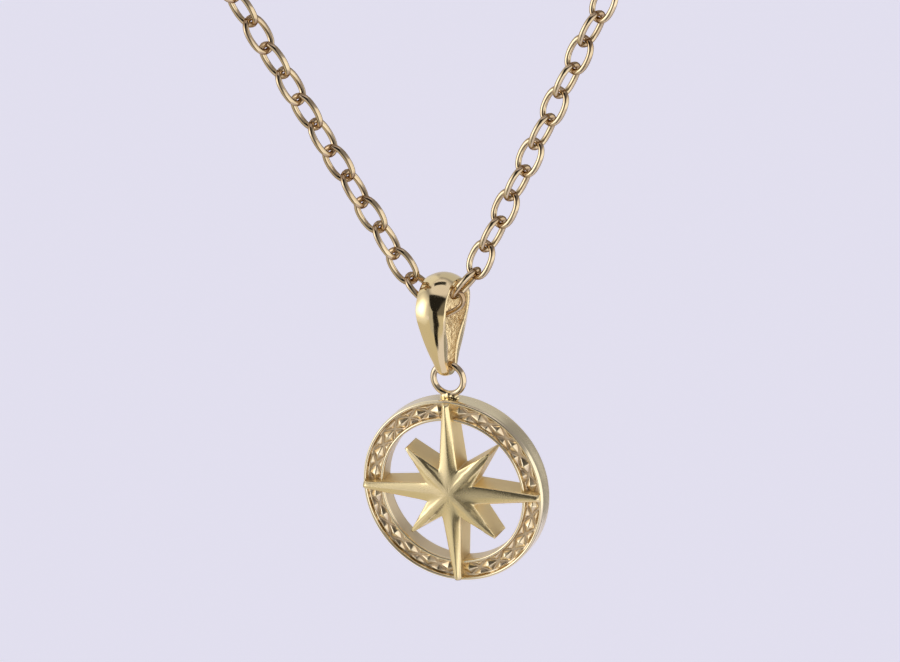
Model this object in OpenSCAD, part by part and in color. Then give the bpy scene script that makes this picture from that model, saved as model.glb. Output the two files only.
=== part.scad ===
// A compass pendant on an oval cable chain, in millimetres.
// +Z is up and the front faces -Y. The origin is on the chain's centre line at the nape.

/* [Chain] */
// Links in the two strands, apart from the two that run through the bail
strand_links = 151; // [141:2:161]
// Distance from one link's centre to the next
link_pitch = 3.22; // [3.1:0.02:3.4]
// Diameter of the link wire
link_wire = 0.6; // [0.54:0.02:0.6]
// Width of a link over its wires
link_width = 3.1; // [3.02:0.02:3.12]
// Angle of each strand from the vertical
strand_angle = 27.7; // [24:0.1:32]
// Along the left strand, from where the strands' lines cross to its lowest joint
left_start = 6.94; // [6.9:0.02:6.98]
// The same along the right strand, whose lowest link is tilted on its own
right_start = 4.58; // [4.54:0.02:4.62]
// Tilt of the right strand's lowest link from the horizontal
right_low_tilt = 49; // [48:0.5:50]
// Turn of the left strand's lower links about the strand
left_foot_twist = -16; // [-18:1:-14]
// Turn of the left strand's links further up
left_twist = -33; // [-36:1:-30]
// Turn of the left link that enters the bail
left_low_twist = -40; // [-42:1:-38]
// Turn of the right strand's links about the strand
right_twist = -31; // [-33:1:-29]
// Turn of the right link that enters the bail
right_low_twist = -20; // [-22:1:-18]
// Turn of the bottom link about the vertical
bottom_twist = 13; // [11:1:15]

/* [Loop round the neck] */
// Radius of the bend where a strand turns back at the side of the neck
side_bend = 22; // [15:1:30]
// Straight run from the side bend to the back of the neck
side_run = 25; // [10:1:40]
// Climb of the loop from the sides to the nape, in degrees
nape_climb = 25; // [10:1:35]

/* [Clasp] */
// Distance between the two links that the clasp joins
clasp_pitch = 8; // [7:0.5:10]
// Diameter of the clasp's wire
clasp_wire = 0.9; // [0.8:0.05:1]
// Width of the clasp over its wires
clasp_width = 4.2; // [3.8:0.1:5]

/* [Bail] */
// Turn of the bail about the vertical
bail_yaw = -15.2; // [-17:0.1:-13]
// Height of the round top's centre above the crossing of the strands' lines
bail_rise = 2.87; // [2.83:0.01:2.91]
// Radius of the round top at the band's edges
bail_top_r = 3.48; // [3.44:0.02:3.6]
// Radius of the rounded bottom
bail_tip_r = 1.72; // [1.66:0.02:1.8]
// From the centre of the round top down to that of the bottom
bail_drop = 5.7; // [5.66:0.02:5.8]
// How far each leaf bows out between the two
bail_bow = 0.26; // [0.1:0.02:0.34]
// Width of the band over the top
bail_width = 3.22; // [3:0.02:3.4]
// Width of the band where it reaches the bottom
bail_foot_width = 1.34; // [1.2:0.02:1.5]
// Height of the band's crown over its edges
bail_crown = 0.35; // [0.2:0.05:0.4]
// Radius of the hollow's round top
bail_hollow_r = 2.9; // [2.88:0.01:2.94]
// Lean of the bail to the side
bail_lean = 0.8; // [0:0.1:1.4]
// Radius of the eye that the ring hangs in
bail_eye_r = 0.88; // [0.86:0.01:0.92]
// How far the eye's centre lies above the ring's wire
bail_eye_lift = 0.24; // [0.22:0.01:0.26]

/* [Compass] */
// Turn of the compass about the vertical
compass_yaw = -10.4; // [-14:0.1:-8]
// Height of the compass's centre below the crossing of the strands' lines
compass_drop = 17.16; // [17:0.02:17.3]
// Outer radius of the disc
disc_r = 10; // [9.8:0.05:10.2]
// Radius of the opening inside the rim
disc_hole_r = 7.78; // [7.6:0.02:7.9]
// Thickness of the disc
disc_t = 2.14; // [2:0.02:2.3]
// Width of the two raised beads
bead_w = 0.26; // [0.2:0.02:0.3]
// Depth of the channel between them
channel_depth = 0.45; // [0.3:0.05:0.5]
// Pyramids round the channel
pyramids = 24; // [24:4:24]
// Mean radius of the ring at the top
ring_r = 1.67; // [1.65:0.01:1.7]
// Diameter of the ring's wire
ring_wire = 0.68; // [0.62:0.02:0.7]
// Height of the ring's centre above the disc's
ring_rise = 12.15; // [12.13:0.01:12.17]
// Width of the solder post under the ring
post_w = 1.7; // [1.4:0.1:1.9]

/* [Star] */
// How far the hub stands out in front of the rim
hub_rise = 1.21; // [1.15:0.01:1.3]
// Reach of the four long arms
long_reach = 9.85; // [9.8:0.01:9.9]
// Reach of the four short arms
short_reach = 6.65; // [6.5:0.05:6.8]
// How far the ridges stand out in front of the rim at the long arms' tips
long_tip_rise = 0.63; // [0.5:0.01:0.8]
// The same at the short arms' tips
short_tip_rise = 0.43; // [0.35:0.01:0.5]
// Width of a long arm at the tip
long_tip_w = 0.76; // [0.6:0.02:0.9]
// Distance of the valleys between the arms from the hub's centre
valley_r = 2.79; // [2.6:0.01:3]
// Angle between a long arm and the valley beside it
valley_angle = 21.8; // [20:0.2:24]
// Depth of the valleys below the hub's point
valley_depth = 0.38; // [0.36:0.01:0.45]

/* [Hidden] */
gold = [0.80, 0.71, 0.58];

// Chain: the strands lie in the plane of the crossing point, one link after another
link_clear = 0.15;
link_inner = link_pitch + link_clear;
link_half_w = (link_width - link_wire) / 2;
link_straight = link_inner + link_wire - 2 * link_half_w;
up_dir = [sin(strand_angle), 0, cos(strand_angle)];
back_dir = [0, cos(nape_climb), sin(nape_climb)];
bend_angle = acos(up_dir * back_dir);
bend_normal = (back_dir - cos(bend_angle) * up_dir) / sin(bend_angle);
bend_axis = cross(up_dir, bend_normal);
bend_len = side_bend * bend_angle * PI / 180;
bend_shift = side_bend * (sin(bend_angle) * up_dir + (1 - cos(bend_angle)) * bend_normal);
nape_axis = cross(back_dir, [-1, 0, 0]);
half_loop = (left_start + right_start + strand_links * link_pitch + clasp_pitch) / 2;
nape_r = (half_loop - bend_len - side_run + bend_shift.x / up_dir.x) / (1 / up_dir.x + PI / 2);
straight_len = (nape_r - bend_shift.x) / up_dir.x;
bend_start = straight_len * up_dir;
run_start = bend_start + bend_shift;
nape_start = run_start + side_run * back_dir;
nape_centre = nape_start - [nape_r, 0, 0];
cross_at = -(nape_centre + nape_r * back_dir);
left_links = (strand_links - 1) / 2;
twist_from = left_start + 3.5 * link_pitch;
twist_to = left_start + 9.5 * link_pitch;
right_links = strand_links - left_links;

front = [0, -1, 0];

// A vector turned about an axis of length 1
function turned(v, axis, angle) =
    v * cos(angle) + cross(axis, v) * sin(angle) + axis * (axis * v) * (1 - cos(angle));

// A point, and the turn of the chain's direction, at a distance s along the right half of the loop
function loop_at(s) =
    s < straight_len ? s * up_dir
    : s < straight_len + bend_len ?
        let (a = (s - straight_len) / side_bend * 180 / PI)
        bend_start + side_bend * (sin(a) * up_dir + (1 - cos(a)) * bend_normal)
    : s < straight_len + bend_len + side_run ?
        run_start + (s - straight_len - bend_len) * back_dir
    : let (a = (s - straight_len - bend_len - side_run) / nape_r * 180 / PI)
        nape_centre + nape_r * [cos(a), back_dir.y * sin(a), back_dir.z * sin(a)];
function carried(v, s) =
    let (a = min(bend_angle, max(0, (s - straight_len) / side_bend * 180 / PI)),
        b = max(0, (s - straight_len - bend_len - side_run) / nape_r * 180 / PI))
    turned(turned(v, bend_axis, a), nape_axis, b);
// The face of an untwisted link looks forward on the strand and is carried along the bends
function facing(s, foot_twist, twist) =
    let (share = min(1, max(0, (s - twist_from) / (twist_to - twist_from))),
        kept = foot_twist + (twist - foot_twist) * share,
        left_over = min(1, (half_loop - s) / (half_loop - straight_len)))
    carried(turned(front, up_dir, kept * left_over), s);
function flip(v) = [-v.x, v.y, v.z];

// The links that run through the bail meet at sharp angles, so each hangs in a round end of the bottom link
end_off = (link_pitch - link_straight) / 2;
left_low = flip(loop_at(left_start));
right_high = loop_at(right_start + link_pitch);
right_low_dir = [cos(right_low_tilt), 0, sin(right_low_tilt)];
right_end = right_high - (link_pitch + end_off) * right_low_dir;
left_reach = link_pitch + end_off;
ends_span = norm(right_end - left_low);
ends_dir = (right_end - left_low) / ends_span;
ends_along = (pow(left_reach, 2) - pow(link_straight, 2) + pow(ends_span, 2)) / (2 * ends_span);
ends_down = sqrt(pow(left_reach, 2) - pow(ends_along, 2));
left_end = left_low + ends_along * ends_dir + ends_down * [ends_dir.z, 0, -ends_dir.x];
left_low_dir = (left_end - left_low) / left_reach;
bottom_dir = (right_end - left_end) / link_straight;

// Bail: outline and hollow are drops, each point at a share u of the way round from the top
band_steps = 44;
band_across = 8;
eye_z = -compass_drop + ring_rise + ring_r;
function drop_half(top_r, tip_r, drop, bow, u) =
    let (lean = asin((top_r - tip_r) / drop), side = [cos(lean), -sin(lean)],
        a = 90 - (90 + lean) * u / 0.5, b = -lean - (90 - lean) * (u - 0.8) / 0.2,
        t = (u - 0.5) / 0.3)
    u < 0.5 ? top_r * [cos(a), sin(a)]
    : u < 0.8 ? top_r * side * (1 - t) + (tip_r * side - [0, drop]) * t + side * bow * pow(sin(180 * t), 2)
    : tip_r * [cos(b), sin(b)] - [0, drop];
function drop_at(top_r, tip_r, drop, bow, u) =
    u <= 1 ? drop_half(top_r, tip_r, drop, bow, u)
    : let (p = drop_half(top_r, tip_r, drop, bow, 2 - u)) [-p.x, p.y];
function band_half_w(z) =
    let (share = min(1, max(0, (1 - z) / (1 + bail_drop))))
    (bail_width + (bail_foot_width - bail_width) * share) / 2;
eye_below_top = bail_rise - eye_z - bail_eye_lift;

// Compass: the rim's section, and the relief in its channel
front_y = -disc_t / 2;
floor_y = front_y + channel_depth;
channel_in = disc_hole_r + bead_w;
channel_out = disc_r - bead_w;
relief_gap = 0.06;
relief_sink = 0.1;
relief_top = front_y + 0.05;
pitch_angle = 360 / pyramids;
chamfer = 0.08;
edge_drop = 0.32;
hub_y = front_y - hub_rise;
long_tip_angle = asin(long_tip_w / 2 / long_reach);

function link_frame(a, b, face, family) =
    let (along = (b - a) / norm(b - a), flat = face - (face * along) * along,
        n = flat / norm(flat), w = cross(n, along), c = (a + b) / 2,
        u = family ? w : n, v = family ? n : -w)
    [[along.x, u.x, v.x, c.x], [along.y, u.y, v.y, c.y], [along.z, u.z, v.z, c.z], [0, 0, 0, 1]];

// A stadium of round wire in the XY plane, long along X
module wire_loop(straight, half_w, wire) {
    for (side = [0, 180]) rotate([0, 0, side]) {
        translate([straight / 2, 0, 0]) rotate([0, 0, -90]) rotate_extrude(angle = 180, $fn = 48)
            translate([half_w, 0]) circle(d = wire, $fn = 32);
        translate([-straight / 2, half_w, 0]) rotate([0, 90, 0])
            cylinder(d = wire, h = straight, $fn = 32);
    }
}

module link(a, b, face, family) {
    multmatrix(link_frame(a, b, face, family)) wire_loop(link_straight, link_half_w, link_wire);
}

// Links from number low up to number high of a strand; every other one is edge-on
module strand(low, high, start, foot_twist, twist, family, left) {
    hand = left ? -1 : 1;
    for (k = [low:high]) {
        s = start + k * link_pitch;
        a = loop_at(s);
        b = loop_at(s + link_pitch);
        face = facing(s + link_pitch / 2, hand * foot_twist, hand * twist);
        link(left ? flip(a) : a, left ? flip(b) : b, left ? flip(face) : face, (k % 2 == 0) == family);
    }
}

module chain_left() {
    color(gold) translate(cross_at) {
        strand(0, left_links - 1, left_start, left_foot_twist, left_twist, true, true);
        link(left_low, left_end - end_off * left_low_dir, turned(front, up_dir, left_low_twist), false);
    }
}

module chain_right() {
    color(gold) translate(cross_at) {
        strand(1, right_links - 1, right_start, right_twist, right_twist, false, false);
        link(right_end + end_off * right_low_dir, right_high, turned(front, up_dir, right_low_twist), false);
        link(left_end - end_off * bottom_dir, right_end + end_off * bottom_dir,
            turned(front, [0, 0, 1], bottom_twist), true);
    }
}

module clasp() {
    a = flip(loop_at(left_start + left_links * link_pitch));
    b = loop_at(right_start + right_links * link_pitch);
    half_w = (clasp_width - clasp_wire) / 2;
    color(gold) translate(cross_at) multmatrix(link_frame(a, b, facing(half_loop, 0, 0), false))
        wire_loop(clasp_pitch + link_clear + clasp_wire - 2 * half_w, half_w, clasp_wire);
}

// Points across one station of the band: the crowned outside, then the two inner corners
function band_station(u) =
    let (out = drop_at(bail_top_r, bail_tip_r, bail_drop, bail_bow, u),
        in = drop_at(bail_hollow_r, bail_eye_r, eye_below_top, 0, u),
        w = band_half_w(out.y), away = (out - in) / norm(out - in), crown = bail_crown * 2 * w / bail_width)
    concat(
        [for (j = [0:band_across])
            let (t = 2 * j / band_across - 1, p = out + away * crown * (1 - t * t)) [t * w, p.x, p.y]],
        [[w, in.x, in.y], [-w, in.x, in.y]]);

// The band is swept round the drop, crowned outside and flat inside
module band() {
    n = band_across + 3;
    points = [for (i = [0:band_steps - 1]) each band_station(2 * i / band_steps)];
    faces = [for (i = [0:band_steps - 1]) for (j = [0:n - 1]) for (half = [0, 1])
        let (i2 = (i + 1) % band_steps, j2 = (j + 1) % n)
        half == 0 ? [i * n + j, i * n + j2, i2 * n + j2] : [i * n + j, i2 * n + j2, i2 * n + j]];
    polyhedron(points = points, faces = faces);
}

module bail() {
    color(gold) translate(cross_at + [0, 0, bail_rise]) rotate([0, bail_lean, bail_yaw]) band();
}

module rim() {
    bead_y = front_y + chamfer;
    rotate([90, 0, 0]) rotate_extrude($fn = 144) polygon([
        [disc_hole_r, -disc_t / 2], [disc_r, -disc_t / 2],
        [disc_r, -bead_y], [disc_r - chamfer, -front_y],
        [channel_out + chamfer, -front_y], [channel_out, -bead_y],
        [channel_out, -floor_y], [channel_in, -floor_y],
        [channel_in, -bead_y], [channel_in - chamfer, -front_y],
        [disc_hole_r + chamfer, -front_y], [disc_hole_r, -bead_y]]);
}

// A pyramid on the channel's floor over a base of [radius, angle] corners
module pyramid(base, peak) {
    n = len(base);
    function at(p, y) = [p[0] * sin(p[1]), y, p[0] * cos(p[1])];
    polyhedron(
        points = concat([for (p = base) at(p, floor_y + relief_sink)], [for (p = base) at(p, floor_y)],
            [at(peak, relief_top)]),
        faces = concat([[for (i = [n - 1:-1:0]) i]],
            [for (i = [0:n - 1]) [i, (i + 1) % n, n + (i + 1) % n, n + i]],
            [for (i = [0:n - 1]) [n + i, n + (i + 1) % n, 2 * n]]));
}

// Full pyramids along the channel, with half ones between them along both beads
module relief() {
    mid = (channel_in + channel_out) / 2;
    low = channel_in + relief_gap;
    high = channel_out - relief_gap;
    side = pitch_angle / 2 - 0.5;
    for (k = [0:pyramids - 1]) {
        a = (k + 0.5) * pitch_angle;
        b = k * pitch_angle;
        pyramid([[low, a], [mid, a - side], [high, a], [mid, a + side]], [mid, a]);
        pyramid([[high, b - side + 0.5], [high, b + side - 0.5], [mid + 2 * relief_gap, b]], [high, b]);
        pyramid([[low, b + side - 0.5], [low, b - side + 0.5], [mid - 2 * relief_gap, b]], [low, b]);
    }
}

// Eight ridged arms on one hub: four long ones along X and Z, four short ones between them
module star() {
    back = -front_y - 0.05;
    long_y = front_y - long_tip_rise;
    rim_points = [for (q = [0:90:270]) each [
        [long_reach, q - long_tip_angle, long_y + edge_drop], [long_reach, q, long_y],
        [long_reach, q + long_tip_angle, long_y + edge_drop],
        [valley_r, q + valley_angle, hub_y + valley_depth], [short_reach, q + 45, front_y - short_tip_rise],
        [valley_r, q + 90 - valley_angle, hub_y + valley_depth]]];
    n = len(rim_points);
    function at(p, y) = [p[0] * sin(p[1]), y, p[0] * cos(p[1])];
    polyhedron(
        points = concat([for (p = rim_points) at(p, p[2])], [for (p = rim_points) at(p, back)],
            [[0, hub_y, 0]]),
        faces = concat([for (i = [0:n - 1]) [2 * n, i, (i + 1) % n]],
            [for (i = [0:n - 1]) [i, n + i, n + (i + 1) % n]],
            [for (i = [0:n - 1]) [i, n + (i + 1) % n, (i + 1) % n]],
            [[for (i = [n - 1:-1:0]) n + i]]));
}

module top_ring() {
    translate([0, 0, ring_rise]) rotate([90, 0, 0])
        rotate_extrude($fn = 96) translate([ring_r, 0]) circle(d = ring_wire, $fn = 32);
    post_low = disc_r - 0.3;
    post_high = ring_rise - ring_r;
    translate([-post_w / 2, -ring_wire * 0.8, post_low])
        cube([post_w, ring_wire * 1.6, post_high - post_low]);
}

module compass() {
    color(gold) translate([0, cross_at.y, cross_at.z - compass_drop]) rotate([0, 0, compass_yaw]) {
        rim();
        relief();
        star();
        top_ring();
    }
}

chain_left();
chain_right();
clasp();
bail();
compass();
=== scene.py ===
from math import asin, atan2, cos, degrees, exp, log, pi, radians, sin, sqrt, tan

import bmesh
import bpy
from mathutils import Matrix, Vector, noise


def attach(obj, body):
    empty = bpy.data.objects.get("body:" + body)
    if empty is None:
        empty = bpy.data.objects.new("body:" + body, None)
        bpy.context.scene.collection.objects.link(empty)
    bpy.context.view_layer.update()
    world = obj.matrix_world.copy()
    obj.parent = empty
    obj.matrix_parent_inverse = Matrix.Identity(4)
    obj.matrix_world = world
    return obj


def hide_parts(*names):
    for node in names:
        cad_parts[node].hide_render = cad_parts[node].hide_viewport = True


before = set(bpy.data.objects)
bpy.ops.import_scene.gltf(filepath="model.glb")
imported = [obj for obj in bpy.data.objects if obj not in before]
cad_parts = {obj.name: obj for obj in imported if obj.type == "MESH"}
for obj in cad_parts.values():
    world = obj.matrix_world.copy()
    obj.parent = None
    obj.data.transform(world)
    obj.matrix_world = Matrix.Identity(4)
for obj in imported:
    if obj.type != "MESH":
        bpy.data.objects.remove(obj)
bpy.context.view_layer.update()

mm = 0.001
print("stage: frame loaded")

# layout: the same named sizes as the CAD, in millimetres and degrees

layout = {
    "strandLinks": 151, "pitch": 3.22, "wire": 0.6, "width": 3.1, "clear": 0.15,
    "angle": 27.7, "leftStart": 6.94, "rightStart": 4.58, "rightLowTilt": 49.0,
    "leftFootTwist": -16.0, "leftTwist": -33.0, "leftLowTwist": -40.0,
    "rightTwist": -31.0, "rightLowTwist": -20.0, "bottomTwist": 13.0, "twistFrom": 3.5, "twistOver": 6.0,
    "sideBend": 22.0, "sideRun": 25.0, "climb": 25.0,
    "claspPitch": 8.0, "claspWire": 0.9, "claspWidth": 4.2,
    "bailYaw": -15.2, "bailLean": 0.8, "bailRise": 2.87,
    "compassYaw": -10.4, "compassDrop": 17.16,
}
front = Vector((0, -1, 0))
up = Vector((0, 0, 1))


def turned(v, axis, angle):
    return Matrix.Rotation(radians(angle), 3, axis) @ v


def flip(v):
    return Vector((-v.x, v.y, v.z))


def layLoop(q):
    # the loop's stretches: strand, side bend, side run, nape arc
    t = radians(q["angle"])
    c = radians(q["climb"])
    loop = {"up": Vector((sin(t), 0, cos(t))), "back": Vector((0, cos(c), sin(c)))}
    loop["bend"] = loop["up"].angle(loop["back"])
    loop["normal"] = (loop["back"] - cos(loop["bend"]) * loop["up"]) / sin(loop["bend"])
    loop["axis"] = loop["up"].cross(loop["normal"])
    loop["bendLen"] = q["sideBend"] * loop["bend"]
    shift = q["sideBend"] * (sin(loop["bend"]) * loop["up"] + (1 - cos(loop["bend"])) * loop["normal"])
    loop["half"] = (q["leftStart"] + q["rightStart"] + q["strandLinks"] * q["pitch"] + q["claspPitch"]) / 2
    rest = loop["half"] - loop["bendLen"] - q["sideRun"] + shift.x / loop["up"].x
    loop["napeR"] = rest / (1 / loop["up"].x + pi / 2)
    loop["straight"] = (loop["napeR"] - shift.x) / loop["up"].x
    loop["bendStart"] = loop["straight"] * loop["up"]
    loop["runStart"] = loop["bendStart"] + shift
    loop["napeCentre"] = loop["runStart"] + q["sideRun"] * loop["back"] - Vector((loop["napeR"], 0, 0))
    loop["napeAxis"] = loop["back"].cross(Vector((-1, 0, 0)))
    loop["crossAt"] = -(loop["napeCentre"] + loop["napeR"] * loop["back"])
    return loop


loop = layLoop(layout)
crossAt = loop["crossAt"]


def loopAt(s):
    s1 = loop["straight"]
    s2 = s1 + loop["bendLen"]
    s3 = s2 + layout["sideRun"]
    if s < s1:
        return s * loop["up"]
    if s < s2:
        a = (s - s1) / layout["sideBend"]
        return loop["bendStart"] + layout["sideBend"] * (sin(a) * loop["up"] + (1 - cos(a)) * loop["normal"])
    if s < s3:
        return loop["runStart"] + (s - s2) * loop["back"]
    a = (s - s3) / loop["napeR"]
    return loop["napeCentre"] + loop["napeR"] * (Vector((cos(a), 0, 0)) + sin(a) * loop["back"])


def facing(s, footTwist, twist):
    # which way a link at s faces; the foot's twist passes into the strand's over a few links
    q = layout
    share = min(1, max(0, (s - q["leftStart"]) / q["pitch"] - q["twistFrom"]) / q["twistOver"])
    kept = footTwist + (twist - footTwist) * share
    kept *= min(1, (loop["half"] - s) / (loop["half"] - loop["straight"]))
    a = min(loop["bend"], max(0, (s - loop["straight"]) / q["sideBend"]))
    b = max(0, (s - loop["straight"] - loop["bendLen"] - q["sideRun"]) / loop["napeR"])
    v = turned(front, loop["up"], kept)
    return turned(turned(v, loop["axis"], degrees(a)), loop["napeAxis"], degrees(b))


def linkFrame(a, b, face, faceOn):
    along = (b - a).normalized()
    n = (face - face.dot(along) * along).normalized()
    w = n.cross(along)
    u, v = (w, n) if faceOn else (n, -w)
    m = Matrix((along, u, v)).transposed().to_4x4()
    m.translation = crossAt + (a + b) / 2
    return m


def layLinks():
    # every link's place, as in the CAD: two strands, and the two links that run through the bail
    q = layout
    leftCount = (q["strandLinks"] - 1) // 2
    rightCount = q["strandLinks"] - leftCount
    halfWide = (q["width"] - q["wire"]) / 2
    straight = q["pitch"] + q["clear"] + q["wire"] - 2 * halfWide
    endOff = (q["pitch"] - straight) / 2
    left, right = [], []
    for k in range(leftCount):
        s = q["leftStart"] + k * q["pitch"]
        face = flip(facing(s + q["pitch"] / 2, -q["leftFootTwist"], -q["leftTwist"]))
        left.append(linkFrame(flip(loopAt(s)), flip(loopAt(s + q["pitch"])), face, k % 2 == 0))
    for k in range(1, rightCount):
        s = q["rightStart"] + k * q["pitch"]
        face = facing(s + q["pitch"] / 2, q["rightTwist"], q["rightTwist"])
        right.append(linkFrame(loopAt(s), loopAt(s + q["pitch"]), face, k % 2 == 1))
    leftLow = flip(loopAt(q["leftStart"]))
    rightHigh = loopAt(q["rightStart"] + q["pitch"])
    tilt = radians(q["rightLowTilt"])
    lowDir = Vector((cos(tilt), 0, sin(tilt)))
    rightEnd = rightHigh - (q["pitch"] + endOff) * lowDir
    reach = q["pitch"] + endOff
    span = (rightEnd - leftLow).length
    spanDir = (rightEnd - leftLow) / span
    along = (reach ** 2 - straight ** 2 + span ** 2) / (2 * span)
    leftEnd = leftLow + along * spanDir + sqrt(reach ** 2 - along ** 2) * Vector((spanDir.z, 0, -spanDir.x))
    intoBail = (leftEnd - leftLow) / reach
    bottom = (rightEnd - leftEnd) / straight
    left.append(linkFrame(leftLow, leftEnd - endOff * intoBail,
                          turned(front, loop["up"], q["leftLowTwist"]), False))
    right.append(linkFrame(rightEnd + endOff * lowDir, rightHigh,
                           turned(front, loop["up"], q["rightLowTwist"]), False))
    right.append(linkFrame(leftEnd - endOff * bottom, rightEnd + endOff * bottom,
                           turned(front, up, q["bottomTwist"]), True))
    claspAt = linkFrame(flip(loopAt(q["leftStart"] + leftCount * q["pitch"])),
                        loopAt(q["rightStart"] + rightCount * q["pitch"]), facing(loop["half"], 0, 0), False)
    return left, right, claspAt


bailMatrix = (Matrix.Translation(crossAt + Vector((0, 0, layout["bailRise"])))
              @ Matrix.Rotation(radians(layout["bailYaw"]), 4, "Z")
              @ Matrix.Rotation(radians(layout["bailLean"]), 4, "Y"))
compassMatrix = (Matrix.Translation(crossAt - Vector((0, 0, layout["compassDrop"])))
                 @ Matrix.Rotation(radians(layout["compassYaw"]), 4, "Z"))

# camera: angles in degrees, distance in millimetres, crossPx is where the strands would cross

view = {
    "azimuth": 12.6, "elevation": 20.9, "roll": 4.2, "pxPerMm": 9.606,
    "crossPx": (445.1, 333.9), "distance": 2500.0, "imageW": 900, "imageH": 662,
    "sensor": 36.0, "clip": (0.01, 30),
}


def placeCamera(q):
    az = radians(q["azimuth"])
    el = radians(q["elevation"])
    ro = radians(q["roll"])
    flatRight = Vector((cos(az), sin(az), 0))
    flatUp = Vector((-sin(az) * sin(el), cos(az) * sin(el), cos(el)))
    back = flatRight.cross(flatUp)
    right = flatRight * cos(ro) - flatUp * sin(ro)
    high = flatUp * cos(ro) + flatRight * sin(ro)
    aim = (crossAt + right * (q["imageW"] / 2 - q["crossPx"][0]) / q["pxPerMm"]
           - high * (q["imageH"] / 2 - q["crossPx"][1]) / q["pxPerMm"])
    data = bpy.data.cameras.new("camera")
    data.sensor_fit = "HORIZONTAL"
    data.sensor_width = q["sensor"]
    data.lens = q["sensor"] * q["pxPerMm"] * q["distance"] / q["imageW"]
    data.clip_start, data.clip_end = q["clip"]
    cam = bpy.data.objects.new("camera", data)
    m = Matrix((right, high, back)).transposed().to_4x4()
    m.translation = (aim + back * q["distance"]) * mm
    cam.matrix_world = m
    bpy.context.collection.objects.link(cam)
    bpy.context.scene.camera = cam


placeCamera(view)
print("stage: camera placed")

# helpers


def newTube(bm, steps, sides, place):
    # a closed tube: a circle spun right round, its points then set by place(step, side)
    away = 10
    made = bmesh.ops.create_circle(bm, cap_ends=False, segments=sides, radius=1.0,
                                   matrix=Matrix.Translation((away, 0, 0)) @ Matrix.Rotation(pi / 2, 4, "X"))
    ring = made["verts"]
    edges = list(dict.fromkeys(e for v in ring for e in v.link_edges))  # each once, always in this order
    before = set(bm.verts) - set(ring)
    bmesh.ops.spin(bm, geom=ring + edges, cent=(0, 0, 0), axis=(0, 0, 1), angle=2 * pi, steps=steps,
                   use_merge=True)
    for v in [v for v in bm.verts if v not in before]:
        i = round(atan2(v.co.y, v.co.x) / (2 * pi) * steps) % steps
        angle = atan2(v.co.z, sqrt(v.co.x ** 2 + v.co.y ** 2) - away) - pi / 2
        j = round(angle / (2 * pi) * sides) % sides
        v.co = place(i, j)
    bmesh.ops.recalc_face_normals(bm, faces=bm.faces)


def newPatch(bm, nx, ny, place):
    # a grid whose points are set by place(column, row)
    made = bmesh.ops.create_grid(bm, x_segments=nx, y_segments=ny, size=0.5)
    for v in made["verts"]:
        v.co = place(round((v.co.x + 0.5) * nx), round((v.co.y + 0.5) * ny))


def finishPiece(name, bm, matrix, material, body, node, levels=0):
    # places a piece in the frame, gives it its metal and subdivisions, and ties it to its body and node
    bm.transform(matrix)
    bm.transform(Matrix.Scale(mm, 4))
    bmesh.ops.recalc_face_normals(bm, faces=bm.faces)
    mesh = bpy.data.meshes.new(name)
    bm.to_mesh(mesh)
    bm.free()
    for f in mesh.polygons:
        f.use_smooth = True
    obj = bpy.data.objects.new(name, mesh)
    bpy.context.collection.objects.link(obj)
    mesh.materials.append(material)
    if levels:
        mod = obj.modifiers.new("smooth", "SUBSURF")
        mod.levels = levels
        mod.render_levels = levels
    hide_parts(node)
    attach(obj, body)
    return obj


# materials


surface = {
    "cloud": (260, 3, 0.55), "smudge": (900, 4, 0.6), "grain": (4200, 4, 0.6), "pits": (1900, 3, 0.5),
    "cloudTone": 0.9, "shadeTone": 0.75, "castTone": 0.35, "wear": 0.12, "castRough": 0.24,
    "grainHeight": 0.45, "pitsHeight": 0.8, "smudgeHeight": 0.05, "bump": 0.35,
    "bumpDepth": 0.00008,
}


def socketOf(tree, name, kind, out=False, value=None):
    s = tree.interface.new_socket(name=name, in_out="OUTPUT" if out else "INPUT", socket_type=kind)
    if value is not None:
        s.default_value = value
    return s


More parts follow.
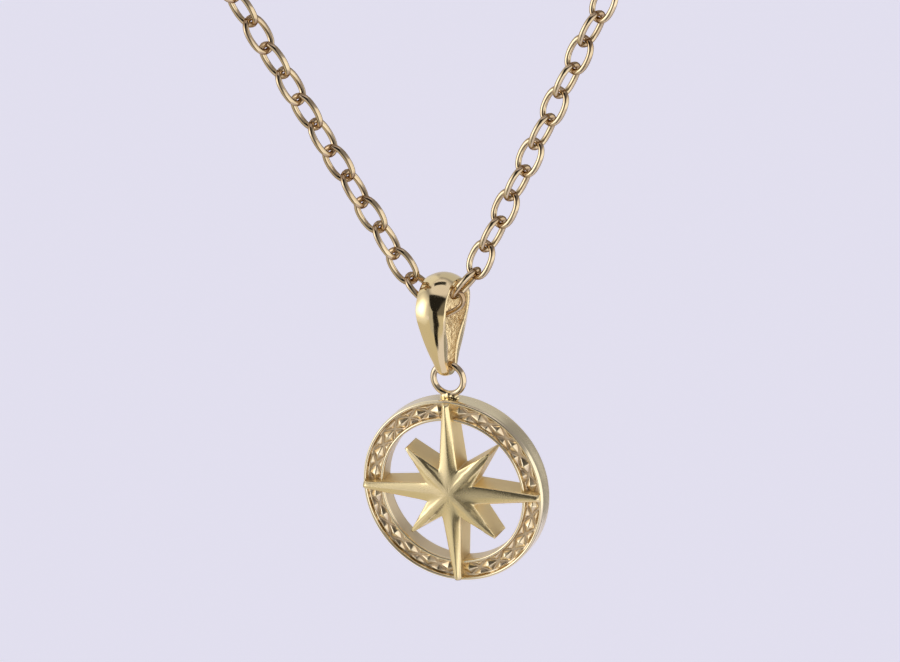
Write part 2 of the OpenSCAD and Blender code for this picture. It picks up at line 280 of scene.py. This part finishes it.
def goldGroup(q):
    # Color, Roughness and Height of worked gold. Cast: 0 polished, 1 as cast. Painted shade: 0 none, 1 full,
    # darkening the colour where shade falls.
    tree = bpy.data.node_groups.new("goldSurface", "ShaderNodeTree")
    socketOf(tree, "Vector", "NodeSocketVector")
    socketOf(tree, "Cast", "NodeSocketFloat", value=0.0)
    socketOf(tree, "PaintedShade", "NodeSocketFloat", value=0.0)
    socketOf(tree, "Light tone", "NodeSocketColor", value=(0.9, 0.76, 0.5, 1))
    socketOf(tree, "Dark tone", "NodeSocketColor", value=(0.8, 0.6, 0.36, 1))
    socketOf(tree, "Polish", "NodeSocketFloat", value=0.1)
    socketOf(tree, "Grain", "NodeSocketFloat", value=1.0)
    socketOf(tree, "Color", "NodeSocketColor", out=True)
    socketOf(tree, "Roughness", "NodeSocketFloat", out=True)
    socketOf(tree, "Height", "NodeSocketFloat", out=True)
    n = tree.nodes
    link = tree.links.new
    given = n.new("NodeGroupInput")
    out = n.new("NodeGroupOutput")

    def noiseAt(scale, detail, rough):
        t = n.new("ShaderNodeTexNoise")
        t.inputs["Scale"].default_value = scale
        t.inputs["Detail"].default_value = detail
        t.inputs["Roughness"].default_value = rough
        link(given.outputs["Vector"], t.inputs["Vector"])
        return t.outputs["Fac"]

    def math(op, a, b=None, c=None, clamp=False):
        m = n.new("ShaderNodeMath")
        m.operation = op
        m.use_clamp = clamp
        for k, x in enumerate((a, b, c)):
            if x is None:
                continue
            if isinstance(x, (int, float)):
                m.inputs[k].default_value = x
            else:
                link(x, m.inputs[k])
        return m.outputs[0]

    cloud, smudge, grain, pits = [noiseAt(*q[key]) for key in ("cloud", "smudge", "grain", "pits")]
    # painted shade, mixed with the darker tone of as-cast gold
    shadeAndCast = math("MULTIPLY_ADD", given.outputs["PaintedShade"], q["shadeTone"],
                  math("MULTIPLY", given.outputs["Cast"], q["castTone"]))
    tone = math("MULTIPLY_ADD", math("SUBTRACT", cloud, 0.5), q["cloudTone"], shadeAndCast, clamp=True)
    mix = n.new("ShaderNodeMix")
    mix.data_type = "RGBA"
    link(tone, mix.inputs["Factor"])
    link(given.outputs["Light tone"], mix.inputs["A"])
    link(given.outputs["Dark tone"], mix.inputs["B"])
    link(mix.outputs["Result"], out.inputs["Color"])
    wear = math("MULTIPLY", math("SUBTRACT", smudge, 0.5), q["wear"])
    polished = math("ADD", given.outputs["Polish"], wear)
    link(math("MULTIPLY_ADD", given.outputs["Cast"], q["castRough"], polished, clamp=True),
         out.inputs["Roughness"])
    skin = math("MULTIPLY_ADD", grain, q["grainHeight"], math("MULTIPLY", pits, q["pitsHeight"]))
    rough = math("MULTIPLY", skin, math("MULTIPLY", given.outputs["Cast"], given.outputs["Grain"]))
    link(math("MULTIPLY_ADD", smudge, q["smudgeHeight"], rough), out.inputs["Height"])
    return tree


surfaceGroup = goldGroup(surface)


def goldMaterial(name, light, dark, polish, grain=1.0, edge=(1, 1, 1)):
    mat = bpy.data.materials.new(name)
    mat.use_nodes = True
    tree = mat.node_tree
    shader = tree.nodes["Principled BSDF"]
    shader.inputs["Metallic"].default_value = 1.0
    shader.inputs["Specular Tint"].default_value = (*edge, 1)
    coord = tree.nodes.new("ShaderNodeTexCoord")
    group = tree.nodes.new("ShaderNodeGroup")
    group.node_tree = surfaceGroup
    group.inputs["Light tone"].default_value = (*light, 1)
    group.inputs["Dark tone"].default_value = (*dark, 1)
    group.inputs["Polish"].default_value = polish
    group.inputs["Grain"].default_value = grain
    link = tree.links.new
    link(coord.outputs["Object"], group.inputs["Vector"])
    for attr, socket in (("cast", "Cast"), ("paintedShade", "PaintedShade")):
        a = tree.nodes.new("ShaderNodeAttribute")
        a.attribute_name = attr
        link(a.outputs["Fac"], group.inputs[socket])
    height = tree.nodes.new("ShaderNodeBump")
    height.inputs["Strength"].default_value = surface["bump"]
    height.inputs["Distance"].default_value = surface["bumpDepth"]
    link(group.outputs["Height"], height.inputs["Height"])
    link(group.outputs["Color"], shader.inputs["Base Color"])
    link(group.outputs["Roughness"], shader.inputs["Roughness"])
    link(height.outputs["Normal"], shader.inputs["Normal"])
    return mat


dim = (0.34, 0.25, 0.18)  # browner at grazing angles, on the thin wires
chainGold = goldMaterial("chainGold", (0.86, 0.71, 0.47), (0.42, 0.28, 0.16), 0.07, edge=dim)
ringGold = goldMaterial("ringGold", (0.78, 0.63, 0.42), (0.56, 0.41, 0.25), 0.08, edge=dim)
bailGold = goldMaterial("bailGold", (0.93, 0.75, 0.43), (0.78, 0.57, 0.33), 0.10, grain=4.0)
starGold = goldMaterial("starGold", (0.93, 0.76, 0.43), (0.80, 0.62, 0.34), 0.26)
rimGold = goldMaterial("rimGold", (0.93, 0.80, 0.55), (0.76, 0.60, 0.40), 0.18)
print("stage: materials made")

# chain and clasp

# the strands' painted shade: one share for each whole strand, and more at the link ends
chain = {
    "steps": 16, "sides": 8, "power": 2.35, "wireSwell": 1.22, "pathSwell": 1.012,
    "leftShade": 0.5, "rightShade": 0.38, "jointShade": 0.75, "jointFrom": 0.66, "jointOver": 0.2,
}
clasp = {**chain, "power": 2.8}


def ovalLink(bm, halfLong, halfWide, wire, q):
    # round wire along a squared oval
    def path(a):
        c, s = cos(a), sin(a)
        x = halfLong * (abs(c) ** (2 / q["power"])) * (1 if c >= 0 else -1)
        y = halfWide * (abs(s) ** (2 / q["power"])) * (1 if s >= 0 else -1)
        return Vector((x, y, 0)) * q["pathSwell"]

    def place(i, j):
        a = 2 * pi * (i + 0.5) / q["steps"]
        here = path(a)
        tangent = (path(a + 0.01) - path(a - 0.01)).normalized()
        out = Vector((tangent.y, -tangent.x, 0))
        b = 2 * pi * (j + 0.5) / q["sides"]
        return here + (out * cos(b) + up * sin(b)) * wire / 2 * q["wireSwell"]

    newTube(bm, q["steps"], q["sides"], place)


def chainPiece(name, frames, node, q):
    # one link set at every frame; its ends, where links meet, get painted shade, and each strand gets a
    # painted shade of its own
    single = bmesh.new()
    halfWide = (layout["width"] - layout["wire"]) / 2
    ovalLink(single, (layout["pitch"] + layout["clear"] + layout["wire"]) / 2, halfWide, layout["wire"], q)
    furthest = max(v.co.x for v in single.verts)
    ends = [min(1.0, max(0.0, (abs(v.co.x) / furthest - q["jointFrom"]) / q["jointOver"]))
            for v in single.verts]
    mesh = bpy.data.meshes.new("oneLink")
    single.to_mesh(mesh)
    single.free()
    bm = bmesh.new()
    for m in frames:
        start = len(bm.verts)
        bm.from_mesh(mesh)
        bm.verts.ensure_lookup_table()
        bmesh.ops.transform(bm, matrix=m, verts=bm.verts[start:])
    bpy.data.meshes.remove(mesh)
    paintedShade = bm.verts.layers.float.new("paintedShade")
    # painted shade over the whole strand, and more towards each link's ends
    base = q["leftShade"] if node == "chain_left" else q["rightShade"]
    for k, v in enumerate(bm.verts):
        v[paintedShade] = base + q["jointShade"] * ends[k % len(ends)]
    return finishPiece(name, bm, Matrix.Identity(4), chainGold, "chain", node, levels=1)


leftFrames, rightFrames, claspFrame = layLinks()
chainPiece("chainLeft", leftFrames, "chain_left", chain)
chainPiece("chainRight", rightFrames, "chain_right", chain)

claspBm = bmesh.new()
claspHalfWide = (layout["claspWidth"] - layout["claspWire"]) / 2
ovalLink(claspBm, (layout["claspPitch"] + layout["clear"] + layout["claspWire"]) / 2, claspHalfWide,
         layout["claspWire"], clasp)
finishPiece("claspRing", claspBm, claspFrame, chainGold, "chain", "clasp", levels=2)
print("stage: chain made")

# bail: a folded band, open at both sides

bail = {
    "topR": 3.48, "tipR": 1.72, "drop": 5.7, "flankR": 17.5, "width": 3.36, "footWidth": 1.34,
    "taper": 1.15, "crown": 0.5, "edgeDrop": 0.13, "hollowR": 2.9, "hollowBow": -0.4, "eyeR": 0.88,
    "eyeLift": 0.24, "ringRise": 12.15, "ringR": 1.67, "stations": 96, "edge": 0.06, "castEdge": 0.15,
    "turn": 2,
}


def dropAt(topR, tipR, drop, bow, u):
    # a drop outline from the top (u 0) round the right side to the tip (u 1) and back up the left (u 2)
    side = 1
    if u > 1:
        u, side = 2 - u, -1
    lean = asin((topR - tipR) / drop)
    leaning = Vector((cos(lean), -sin(lean)))
    if u < 0.5:
        a = pi / 2 - (pi / 2 + lean) * u / 0.5
        p = topR * Vector((cos(a), sin(a)))
    elif u < 0.8:
        t = (u - 0.5) / 0.3
        foot = tipR * leaning - Vector((0, drop))
        p = topR * leaning * (1 - t) + foot * t + leaning * bow * sin(pi * t) ** 2
    else:
        b = -lean - (pi / 2 - lean) * (u - 0.8) / 0.2
        p = tipR * Vector((cos(b), sin(b))) - Vector((0, drop))
    return Vector((side * p.x, p.y))


def bandAt(q, u):
    # the band's outer outline: top, side and tip arcs that run into each other; u as in dropAt
    side = 1
    if u > 1:
        u, side = 2 - u, -1
    top, tip, flank, drop = q["topR"], q["tipR"], q["flankR"], q["drop"]
    y = ((flank - tip) ** 2 - (flank - top) ** 2 - drop ** 2) / (2 * drop)
    x = -sqrt((flank - top) ** 2 - y * y)
    first, last = atan2(-y, -x), atan2(-drop - y, -x)
    if u < 0.5:
        a = pi / 2 + (first - pi / 2) * u / 0.5
        p = top * Vector((cos(a), sin(a)))
    elif u < 0.8:
        a = first + (last - first) * (u - 0.5) / 0.3
        p = Vector((x, y)) + flank * Vector((cos(a), sin(a)))
    else:
        a = last + (-pi / 2 - last) * (u - 0.8) / 0.2
        p = tip * Vector((cos(a), sin(a))) - Vector((0, drop))
    return Vector((side * p.x, p.y))


def bailPiece(q):
    eyeBelow = layout["bailRise"] + layout["compassDrop"] - q["ringRise"] - q["ringR"] - q["eyeLift"]
    # across the band: crowned outside, small rounded edges, flat inside
    crownAt = [-1, -0.8, -0.6, -0.4, -0.2, 0, 0.2, 0.4, 0.6, 0.8, 1]
    sides = len(crownAt) + 9
    bm = bmesh.new()

    def place(i, j):
        u = 2 * i / q["stations"]
        out = bandAt(q, u)
        inside = dropAt(q["hollowR"], q["eyeR"], eyeBelow, q["hollowBow"], u)
        share = min(1, max(0, (1 - out.y) / (1 + q["drop"]))) ** q["taper"]
        w = (q["width"] + (q["footWidth"] - q["width"]) * share) / 2
        away = (out - inside).normalized()
        e = q["edge"]
        if j < len(crownAt):
            t = crownAt[j]
            lift = q["crown"] * 2 * w / q["width"] * (1 - t * t) - q["edgeDrop"]
            p = out + away * lift
            return Vector((t * (w - e), p.x, p.y))
        k = j - len(crownAt)
        thick = (out - inside).length
        low = q["edgeDrop"]
        spots = [(w - e * 0.25, -e * 0.35 - low), (w, -e * 1.3 - low), (w, -thick + e * 1.2),
                 (w - e, -thick), (0, -thick), (-w + e, -thick),
                 (-w, -thick + e * 1.2), (-w, -e * 1.3 - low), (-w + e * 0.25, -e * 0.35 - low)]
        x, depth = spots[k]
        p = out + away * depth
        return Vector((x, p.x, p.y))

    newTube(bm, q["stations"], sides, place)
    cast = bm.verts.layers.float.new("cast")
    for v in bm.verts:
        v[cast] = insideShare(Vector((v.co.y, v.co.z)), q, eyeBelow)
    turn = Matrix.Rotation(radians(q["turn"]), 4, "Z")
    return finishPiece("bailBand", bm, bailMatrix @ turn, bailGold, "bail", "bail", levels=1)


def insideShare(p, q, eyeBelow):
    # 1 on the hollow's wall, 0 away from it
    best = 9
    for k in range(q["stations"] + 1):
        h = dropAt(q["hollowR"], q["eyeR"], eyeBelow, q["hollowBow"], 2 * k / q["stations"])
        best = min(best, (h - p).length)
    return max(0.0, 1 - best / q["castEdge"])


bailPiece(bail)
print("stage: bail made")

# compass: rim, with a bead at each edge and the channel between them

rim = {
    "outer": 10.06, "hole": 7.78, "thick": 2.14, "proud": 0.06, "channelDepth": 0.5, "channelMid": 8.9,
    "channel": (8.1, 9.6), "beadOut": 9.87, "beadOutR": 0.2, "shoulder": 0.4, "beadIn": 7.94,
    "beadInR": 0.17, "steps": 128, "sideCast": 0.35, "backCast": 0.5, "holeShade": 0.5,
}


def rimPiece(q):
    f = q["thick"] / 2
    top = f + q["proud"]
    floorY = -f + q["channelDepth"]
    # the rim's section, from the back round the side wall, the beads and the channel to the hole
    outline = [(q["hole"] + 0.08, f), (q["outer"] - 0.1, f), (q["outer"] - 0.02, f - 0.04),
               (q["outer"], f - 0.12), (q["outer"], 0.05), (q["outer"], -f + 0.48)]
    for k in range(9):
        a = pi * k / 8
        fall = q["shoulder"] if k < 4 else q["beadOutR"]
        outline.append((q["beadOut"] + q["beadOutR"] * cos(a), -top + fall * (1 - sin(a))))
    outline += [(q["beadOut"] - q["beadOutR"] - 0.02, floorY - 0.05),
                (q["beadOut"] - q["beadOutR"] - 0.08, floorY), (q["channelMid"], floorY),
                (q["beadIn"] + q["beadInR"] + 0.08, floorY),
                (q["beadIn"] + q["beadInR"] + 0.02, floorY - 0.05)]
    for k in range(7):
        a = pi * k / 6
        outline.append((q["beadIn"] + q["beadInR"] * cos(a), -top + q["beadInR"] * (1 - sin(a))))
    outline += [(q["hole"], -f + 0.3), (q["hole"], 0.0), (q["hole"], f - 0.1), (q["hole"] + 0.02, f - 0.03)]
    bm = bmesh.new()

    def place(i, j):
        r, y = outline[j]
        a = 2 * pi * i / q["steps"]
        return Vector((r * sin(a), y, r * cos(a)))

    newTube(bm, q["steps"], len(outline), place)
    cast = bm.verts.layers.float.new("cast")
    paintedShade = bm.verts.layers.float.new("paintedShade")
    for v in bm.verts:
        r = sqrt(v.co.x ** 2 + v.co.z ** 2)
        inChannel = 1.0 if q["channel"][0] < r < q["channel"][1] and abs(v.co.y - floorY) < 0.06 else 0.0
        inHole = 1.0 if r < q["hole"] + 0.03 and v.co.y > -f + 0.2 else 0.0
        onSide = q["sideCast"] if r > q["outer"] - 0.03 and v.co.y > -f + 0.5 else 0.0
        onBack = q["backCast"] if v.co.y > f - 0.02 else 0.0
        v[cast] = max(inChannel, inHole, onSide, onBack)
        # painted shade in the channel and the hole, which also stands for patina in these hollows
        v[paintedShade] = max(inChannel, q["holeShade"] * inHole)
    return finishPiece("compassRim", bm, compassMatrix, rimGold, "compass", "compass",
                       levels=1)


rimPiece(rim)

# compass: relief in the channel

relief = {
    "count": 24, "low": 8.12, "high": 9.56, "floor": -0.62, "peak": -1.03, "side": 7.1, "sideIn": 0.12,
    "shiftR": 0.24, "shiftAngle": 2.2, "shiftPeak": 0.07, "sideShift": 2.0, "soft": 0.1, "cast": 0.45,
}


def reliefPiece(q):
    # a ring of pyramids, with three sided ones between them, except where the long arms lie
    bm = bmesh.new()
    mid = (q["low"] + q["high"]) / 2
    pitch = 360 / q["count"]

    def spot(r, a, y):
        return Vector((r * sin(radians(a)), y, r * cos(radians(a))))

    def stud(corners, peak):
        # a four or three sided pyramid from a cone, its points then set
        n = len(corners)
        made = bmesh.ops.create_cone(bm, cap_ends=True, segments=n, radius1=1, radius2=0, depth=1)
        verts = made["verts"]
        base = sorted((v for v in verts if v.co.z < 0), key=lambda v: atan2(v.co.y, v.co.x))
        tip = [v for v in verts if v.co.z > 0]
        for v, c in zip(base, corners):
            v.co = spot(*c, q["floor"] + 0.05)
        for v in tip:
            v.co = peak
        bmesh.ops.remove_doubles(bm, verts=tip, dist=1e-5)

    for k in range(q["count"]):
        a = (k + 0.5) * pitch
        b = k * pitch
        wob = [noise.noise(Vector((k * 1.7, s, 0.3))) for s in (0.1, 5.2, 9.7, 13.1)]
        stud([(q["low"], a), (mid, a - q["side"]), (q["high"], a), (mid, a + q["side"])],
             spot(mid + q["shiftR"] * wob[0], a + q["shiftAngle"] * wob[1],
                  q["peak"] + q["shiftPeak"] * wob[2]))
        if k % (q["count"] // 4) == 0:
            continue
        stud([(q["high"], b - q["side"]), (q["high"], b + q["side"]), (mid + 0.1, b)],
             spot(q["high"] - q["sideIn"], b + q["sideShift"] * wob[2], q["peak"] + 0.05))
        stud([(q["low"], b + q["side"]), (q["low"], b - q["side"]), (mid - 0.1, b)],
             spot(q["low"] + q["sideIn"], b + q["sideShift"] * wob[3], q["peak"] + 0.05))
    bmesh.ops.recalc_face_normals(bm, faces=bm.faces)
    bmesh.ops.bevel(bm, geom=list(bm.edges), offset=q["soft"], offset_type="OFFSET", segments=3,
                    profile=0.5, affect="EDGES", material=-1, clamp_overlap=True)
    cast = bm.verts.layers.float.new("cast")
    paintedShade = bm.verts.layers.float.new("paintedShade")
    for v in bm.verts:
        v[cast] = q["cast"]
        # painted shade, darker towards the channel floor, which also stands for patina there
        v[paintedShade] = min(1.0, max(0.0, (v.co.y - q["peak"]) / (q["floor"] - q["peak"])))
    return finishPiece("compassRelief", bm, compassMatrix, rimGold, "compass", "compass")


reliefPiece(relief)
print("stage: rim and relief made")

# compass: star

star = {
    "hub": -2.28, "valleyR": 2.79, "valleyAngle": 21.8, "back": 1.03, "edge": 0.05, "ridgeSoft": 0.045,
    "hubSoft": 0.6, "hubReach": 2.0, "valleySoft": 0.035, "valleyFade": 1.2, "across": 16,
    "hubSteps": 8, "stepsPerMm": 2.3, "crowd": 1.15, "wallAt": (0.03, 0.10, 0.5, 0.97, 1.0),
    "edgeCast": 0.3, "wallShade": 0.5,
    "long": {"reach": 9.86, "tipHalf": 0.38, "tipY": -1.70, "dropHub": 0.22, "dropTip": 0.34},
    "short": {"reach": 6.65, "tipHalf": 0.12, "tipY": -1.50, "dropHub": 0.07, "dropTip": 0.16},
}


def armHeight(a, b, arm, q):
    # height in front of the disc's middle plane at a along an arm and b beside its ridge
    t = min(1.0, max(0.0, a / arm["reach"]))
    ridge = -q["hub"] + (q["hub"] - arm["tipY"]) * t
    half = arm["tipHalf"] + (arm["hubHalf"] - arm["tipHalf"]) * (1 - t)
    soft = q["ridgeSoft"] + q["hubSoft"] * exp(-(a / q["hubReach"]) ** 2)
    drop = arm["dropHub"] + (arm["dropTip"] - arm["dropHub"]) * t
    side = (sqrt(b * b + soft * soft) - soft) / half
    return ridge - drop * (0.5 * side + 0.5 * side * side)


def starPiece(q):
    # each arm is a strip from the hub's centre to its tip; neighbours meet along a valley
    bm = bmesh.new()
    valley = q["valleyR"]
    arms = []
    for k in range(8):
        arm = q["short" if k % 2 else "long"]
        angle = radians(45 - q["valleyAngle"] if k % 2 else q["valleyAngle"])
        arm["rootA"], arm["rootB"] = valley * cos(angle), valley * sin(angle)
        arm["hubHalf"] = arm["tipHalf"] + (arm["rootB"] - arm["tipHalf"]) * arm["reach"] / (
            arm["reach"] - arm["rootA"])
        turn = k * pi / 4
        arms.append((Vector((sin(turn), 0, cos(turn))), Vector((cos(turn), 0, -sin(turn))), arm))

    def frontY(p):
        heights = []
        for along, across, arm in arms:
            a = p.dot(along)
            if a > -0.4:
                heights.append(armHeight(a, p.dot(across), arm, q))
        # the highest arm's surface, rounded where two arms meet
        best = max(heights)
        k = q["valleySoft"]
        rounded = best + k * log(sum(exp((h - best) / k) for h in heights))
        return -(rounded - k * log(2) * exp(-p.length / q["valleyFade"]))

    hubSteps, nx = q["hubSteps"], q["across"]
    for along, across, arm in arms:
        armSteps = round(arm["reach"] * q["stepsPerMm"])

        def place(i, j):
            s = 2 * i / nx - 1
            if j <= hubSteps:
                f = j / hubSteps
                a, half = arm["rootA"] * f, arm["rootB"] * f
            else:
                f = ((j - hubSteps) / armSteps) ** q["crowd"]
                a = arm["rootA"] + (arm["reach"] - arm["rootA"]) * f
                half = arm["rootB"] + (arm["tipHalf"] - arm["rootB"]) * f
            lateral = s * half
            if abs(i - nx / 2) == nx / 2 - 1 and j > hubSteps:
                lateral = (half - min(q["edge"], half * 0.3)) * (1 if s > 0 else -1)
            p = along * a + across * lateral
            y = frontY(p)
            if (i in (0, nx) and j >= hubSteps) or j == hubSteps + armSteps:
                y += q["edge"] * 0.9
            return Vector((p.x, y, p.z))

        newPatch(bm, nx, hubSteps + armSteps, place)
    bmesh.ops.remove_doubles(bm, verts=bm.verts, dist=1e-4)
    bmesh.ops.dissolve_degenerate(bm, dist=1e-5, edges=bm.edges)
    # the side walls go down from the outline to the flat back
    openEdges = [e for e in bm.edges if e.is_boundary]
    cast = bm.verts.layers.float.new("cast")
    paintedShade = bm.verts.layers.float.new("paintedShade")
    for depth in q["wallAt"]:
        made = bmesh.ops.extrude_edge_only(bm, edges=openEdges)
        verts = [g for g in made["geom"] if isinstance(g, bmesh.types.BMVert)]
        openEdges = [g for g in made["geom"] if isinstance(g, bmesh.types.BMEdge) and g.is_boundary]
        for v in verts:
            top = frontY(Vector((v.co.x, 0, v.co.z))) + q["edge"]
            v.co.y = top + (q["back"] - top) * depth
            v[cast] = 1.0 if depth > 0.05 else q["edgeCast"]
            # painted shade on the walls, darker further down them
            v[paintedShade] = q["wallShade"] * min(1, depth * 2)
    for e in openEdges:
        e.smooth = False
    bmesh.ops.contextual_create(bm, geom=openEdges)
    return finishPiece("compassStar", bm, compassMatrix, starGold, "compass", "compass")


starPiece(star)
print("stage: star made")

# compass: ring and solder post

topRing = {"rise": 12.15, "r": 1.67, "wire": 0.68, "swell": 1.03, "steps": 48, "sides": 12}
solder = {
    "beads": ((-0.45, 0, 10.2, 0.5, 0.8), (0.45, 0.05, 10.2, 0.52, 0.8), (0, -0.05, 10.35, 0.5, 0.9),
              (-0.75, 0.0, 10.02, 0.34, 0.7), (0.72, -0.05, 10.0, 0.36, 0.7), (0, 0.1, 9.98, 0.6, 0.7)),
    "voxel": 0.00006, "soften": 6,
}


def ringPiece(q):
    bm = bmesh.new()

    def place(i, j):
        a = 2 * pi * i / q["steps"]
        b = 2 * pi * j / q["sides"]
        r = q["r"] + q["wire"] / 2 * q["swell"] * cos(b)
        return Vector((r * sin(a), q["wire"] / 2 * q["swell"] * sin(b), q["rise"] + r * cos(a)))

    newTube(bm, q["steps"], q["sides"], place)
    return finishPiece("compassRing", bm, compassMatrix, ringGold, "compass", "compass",
                       levels=1)


def postPiece(q):
    # solder: a few melted beads fused into one skin between the rim and the ring
    bm = bmesh.new()
    for x, y, z, r, flat in q["beads"]:
        made = bmesh.ops.create_icosphere(bm, subdivisions=3, radius=r)
        bmesh.ops.transform(bm, matrix=Matrix.Translation((x, y, z)) @ Matrix.Diagonal((1, flat, 1, 1)),
                            verts=made["verts"])
    obj = finishPiece("compassSolder", bm, compassMatrix, bailGold, "compass", "compass")
    fuse = obj.modifiers.new("fuse", "REMESH")
    fuse.mode = "VOXEL"
    fuse.voxel_size = q["voxel"]
    fuse.use_smooth_shade = True
    soft = obj.modifiers.new("soften", "SMOOTH")
    soft.iterations = q["soften"]
    return obj


ringPiece(topRing)
postPiece(solder)
print("stage: ring and post made")

# stage: floor, world, cards and light

setting = {
    "floorZ": -1.6, "floorSize": 12.0, "floorGlow": 0.54, "pale": (0.752, 0.741, 0.825),
    "worldStrength": 1.0, "skyTint": (1, 0.98, 1.08),
    "sky": ((0.0, 0.6), (0.3, 0.5), (0.45, 0.28), (0.78, 0.3), (0.88, 0.75)),
}
bpy.context.scene.view_settings.view_transform = "Standard"


def plainMaterial(name, colour, glow):
    mat = bpy.data.materials.new(name)
    mat.use_nodes = True
    shader = mat.node_tree.nodes["Principled BSDF"]
    shader.inputs["Base Color"].default_value = (*colour, 1)
    shader.inputs["Roughness"].default_value = 0.9
    shader.inputs["Specular IOR Level"].default_value = 0.0
    shader.inputs["Emission Color"].default_value = (*colour, 1)
    shader.inputs["Emission Strength"].default_value = glow
    return mat


def plane(name, size, centre, toward, material, sizeY=None, foot=1.0):
    # a flat stage piece at centre that faces toward; foot narrows its lower edge
    bm = bmesh.new()
    bm.loops.layers.uv.new("UVMap")
    bmesh.ops.create_grid(bm, x_segments=1, y_segments=1, size=0.5, calc_uvs=True)
    for v in bm.verts:
        v.co.x *= size * (foot if v.co.y < 0 else 1)
        v.co.y *= sizeY or size
    aim = (Vector(toward) - Vector(centre)).normalized()
    m = aim.to_track_quat("Z", "Y").to_matrix().to_4x4()
    m.translation = Vector(centre)
    bm.transform(m)
    mesh = bpy.data.meshes.new(name)
    bm.to_mesh(mesh)
    bm.free()
    mesh.materials.append(material)
    obj = bpy.data.objects.new(name, mesh)
    bpy.context.collection.objects.link(obj)
    return obj


floorMat = plainMaterial("floorPale", setting["pale"], setting["floorGlow"])
plane("floor", setting["floorSize"], (0, 0, setting["floorZ"]), (0, 0, 1), floorMat)


def makeWorld(q):
    # soft light from all round, darker towards the sides and bright overhead
    world = bpy.data.worlds.new("studio")
    bpy.context.scene.world = world
    world.use_nodes = True
    nodes, link = world.node_tree.nodes, world.node_tree.links.new
    sky = nodes.new("ShaderNodeValToRGB")
    height = nodes.new("ShaderNodeSeparateXYZ")
    coord = nodes.new("ShaderNodeTexCoord")
    for at, level in q["sky"]:
        stop = sky.color_ramp.elements.new(at) if at else sky.color_ramp.elements[0]
        stop.color = (*[level * c for c in q["skyTint"]], 1)
        stop.position = at
    sky.color_ramp.elements.remove(sky.color_ramp.elements[-1])
    link(coord.outputs["Generated"], height.inputs["Vector"])
    link(height.outputs["Z"], sky.inputs["Fac"])
    link(sky.outputs["Color"], nodes["Background"].inputs["Color"])
    nodes["Background"].inputs["Strength"].default_value = q["worldStrength"]


makeWorld(setting)
centre = (crossAt - Vector((0, 0, 8))) * mm  # near the pendant's middle


def fromCamera(azimuth, elevation, distance):
    # a place round the pendant, counted from the camera's own direction
    az = radians(view["azimuth"] + azimuth)
    el = radians(elevation)
    return centre + Vector((sin(az) * cos(el), -cos(az) * cos(el), sin(el))) * distance


def cardMaterial(name, colour, glow, soft):
    # a card that fades out towards its edges; soft is the faded share of its width
    mat = bpy.data.materials.new(name)
    mat.use_nodes = True
    tree = mat.node_tree
    link = tree.links.new
    shader = tree.nodes["Principled BSDF"]
    shader.inputs["Base Color"].default_value = (0, 0, 0, 1)
    shader.inputs["Specular IOR Level"].default_value = 0.0
    shader.inputs["Emission Color"].default_value = (*colour, 1)
    shader.inputs["Emission Strength"].default_value = glow
    coord = tree.nodes.new("ShaderNodeUVMap")
    split = tree.nodes.new("ShaderNodeSeparateXYZ")
    both = tree.nodes.new("ShaderNodeMath")
    both.operation = "MULTIPLY"
    link(coord.outputs["UV"], split.inputs["Vector"])
    for k, side in enumerate("XY"):
        fromEdge = tree.nodes.new("ShaderNodeMath")
        fromEdge.operation = "PINGPONG"
        fromEdge.inputs[1].default_value = 0.5
        fade = tree.nodes.new("ShaderNodeMapRange")
        fade.interpolation_type = "SMOOTHSTEP"
        fade.inputs["From Max"].default_value = soft
        link(split.outputs[side], fromEdge.inputs[0])
        link(fromEdge.outputs[0], fade.inputs["Value"])
        link(fade.outputs["Result"], both.inputs[k])
    link(both.outputs[0], shader.inputs["Alpha"])
    return mat


def card(name, left, right, low, high, distance, glow, colour=(1, 1, 1), soft=0.15, foot=1.0):
    # a card that fills these angles as seen from the pendant, counted from the camera's direction
    wide = 2 * distance * tan(radians(right - left) / 2)
    tall = 2 * distance * tan(radians(high - low) / 2)
    obj = plane(name, wide, fromCamera((left + right) / 2, (low + high) / 2, distance), centre,
                cardMaterial(name + "Mat", colour, glow, soft), tall, foot)
    obj.visible_camera = False
    obj.visible_diffuse = False
    obj.visible_shadow = False
    return obj


def areaLight(name, azimuth, elevation, distance, size, power):
    light = bpy.data.lights.new(name, "AREA")
    light.size = size
    light.energy = power
    obj = bpy.data.objects.new(name, light)
    at = fromCamera(azimuth, elevation, distance)
    m = (at - centre).to_track_quat("Z", "Y").to_matrix().to_4x4()
    m.translation = at
    obj.matrix_world = m
    obj.visible_glossy = False
    bpy.context.collection.objects.link(obj)
    return obj


card("leftBox", -122, -46, -40, 52, 0.5, 0.86, soft=0.3)
card("leftFoot", -130, -44, -74, -22, 0.6, 0.6, (1, 0.94, 0.8), soft=0.12)
card("leftGlow", -104, -56, -22, 38, 0.42, 2.9, soft=0.5)
card("backLeft", -175, -113, -28, 66, 0.55, 0.75, soft=0.2)
card("rightBox", 14, 122, -36, 22, 0.4, 1.25, soft=0.1)
card("rightLow", -2, 24, -44, 4, 0.5, 1.5, soft=0.25)
card("backRight", 120, 146, -60, 50, 0.6, 0.3, soft=0.08)
card("backUpper", 138, 184, 0, 54, 0.55, 0.55, soft=0.2)
card("midCard", -50, -30, -60, 24, 0.65, 0.5, soft=0.15)
card("frontCard", -26, 16, -50, 62, 0.75, 0.18, (1, 0.95, 0.88), soft=0.15)
card("frontLow", -28, 0, -56, -2, 0.65, 0.6, (1, 0.94, 0.8), soft=0.2)
card("darkUpper", -58, 8, 4, 62, 0.5, 0.015, soft=0.06, foot=0.25)
card("darkColumn", -35, -17, -62, 28, 0.55, 0.015, soft=0.12)
card("darkTop", 158, 198, 69, 84, 0.5, 0.02, soft=0.12)
areaLight("topBox", -20, 75, 0.6, 0.3, 0.3)
print("stage: floor and lights placed")
